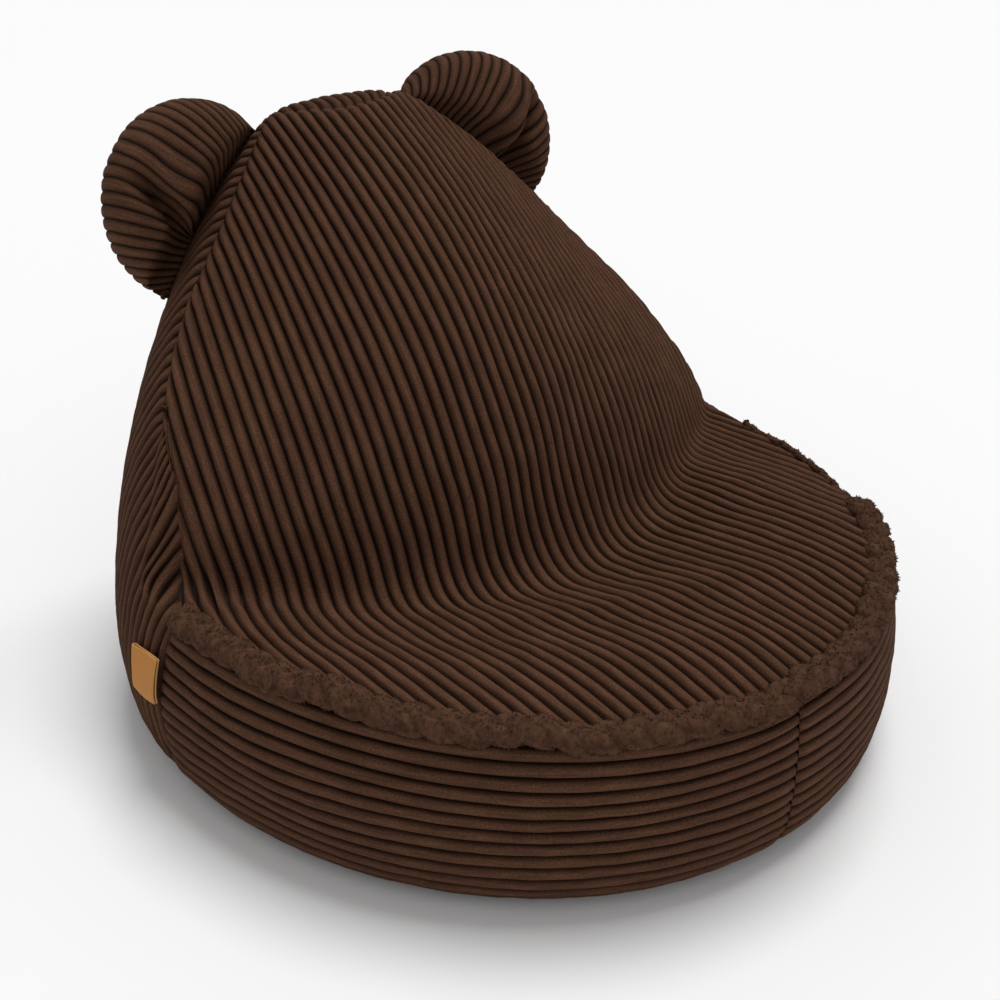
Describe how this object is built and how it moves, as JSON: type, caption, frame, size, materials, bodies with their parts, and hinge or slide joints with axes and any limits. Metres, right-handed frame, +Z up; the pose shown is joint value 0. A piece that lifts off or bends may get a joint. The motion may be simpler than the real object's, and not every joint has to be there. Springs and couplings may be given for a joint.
{
  "type": "bean bag chair",
  "caption": "Child's low bean bag lounger with a raised backrest and two stuffed ears, in wide-ribbed corduroy over a bead-filled inner bag",
  "frame": {"origin": "on the floor, at the middle of the base", "axes": "+Z up, the chair faces -Y, +X to the right as seen from in front"},
  "size_m": [0.6743, 0.6901, 0.4837],
  "materials": {
    "corduroy_seat": "matte wide-ribbed corduroy",
    "corduroy_wall": "matte wide-ribbed corduroy",
    "corduroy_ear": "matte wide-ribbed corduroy",
    "edge_roll": "matte, fluffy",
    "fibre_fill": "matte",
    "label_leather": "satin",
    "zip_tape": "matte",
    "zip_coil": "satin",
    "zip_metal": "satin",
    "liner_cloth": "matte",
    "beads": "matte"
  },
  "bodies": {
    "bag": {"seat_panel": "corduroy_seat", "back_panel": "corduroy_wall", "front_band_left": "corduroy_wall", "front_band_right": "corduroy_wall", "base_front": "corduroy_wall", "base_rear": "corduroy_wall", "seat_edge_roll": "edge_roll", "zip_tape_front": "zip_tape", "zip_tape_rear": "zip_tape", "zip_coil": "zip_coil", "zip_top_stop": "zip_metal", "zip_bottom_stop": "zip_metal", "inner_liner": "liner_cloth", "bead_fill": "beads"},
    "left_ear": {"left_ear_front": "corduroy_ear", "left_ear_back": "corduroy_ear", "left_ear_stuffing": "fibre_fill"},
    "right_ear": {"right_ear_front": "corduroy_ear", "right_ear_back": "corduroy_ear", "right_ear_stuffing": "fibre_fill"},
    "label": {"label_tab": "label_leather"},
    "slider": {"zip_slider": "zip_metal"}
  },
  "joints": [
    {"name": "left_ear_flop", "type": "hinge", "parent": "bag", "child": "left_ear", "pos_m": [-0.1294, 0.263, 0.394], "axis": [0.6428, 0, 0.766], "range_deg": [-12, 12], "stiffness_Nm_per_rad": 3},
    {"name": "right_ear_flop", "type": "hinge", "parent": "bag", "child": "right_ear", "pos_m": [0.1294, 0.263, 0.394], "axis": [0.6428, 0, -0.766], "range_deg": [-12, 12], "stiffness_Nm_per_rad": 3},
    {"name": "label_flap", "type": "hinge", "parent": "bag", "child": "label", "pos_m": [-0.33415, 0.02, 0.097], "axis": [0.1333, 0, 0.9911], "range_deg": [0, 80], "stiffness_Nm_per_rad": 0.01},
    {"name": "zip_slide", "type": "slide", "parent": "bag", "child": "slider", "axis": [-1, 0, 0], "range_m": [0, 0.364], "deforming": ["zip_coil"]}
  ]
}
